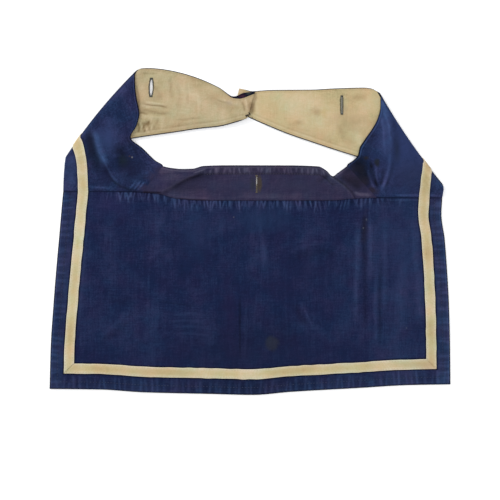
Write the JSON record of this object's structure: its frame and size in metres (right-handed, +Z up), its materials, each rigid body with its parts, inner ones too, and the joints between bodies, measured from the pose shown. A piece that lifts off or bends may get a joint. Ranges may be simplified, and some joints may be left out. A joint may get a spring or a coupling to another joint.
{
  "type": "sailor collar",
  "caption": "Sailor collar lying flat, with a square taped back flap, a curved neck yoke and both fronts folded under at the shoulders.",
  "frame": {"origin": "middle of the outline, on the table that the collar lies on", "axes": "+X across the collar, +Y from the flap's hem towards the neck, +Z up from the table"},
  "size_m": [0.4012, 0.3272, 0.0089],
  "materials": {
    "indigo_cotton": "matt woven cotton, worn",
    "faded_indigo_cotton": "matt woven cotton, faded to purple",
    "linen_lining": "matt woven cotton, yellowed",
    "cream_tape": "matt woven tape, yellowed"
  },
  "bodies": {
    "root": {"back_flap": "indigo_cotton", "neck_yoke": "faded_indigo_cotton", "left_front": "indigo_cotton", "right_front": "indigo_cotton", "left_front_lining": "linen_lining", "right_front_lining": "linen_lining", "left_tape": "cream_tape", "right_tape": "cream_tape", "hem_tape": "cream_tape"}
  },
  "joints": []
}
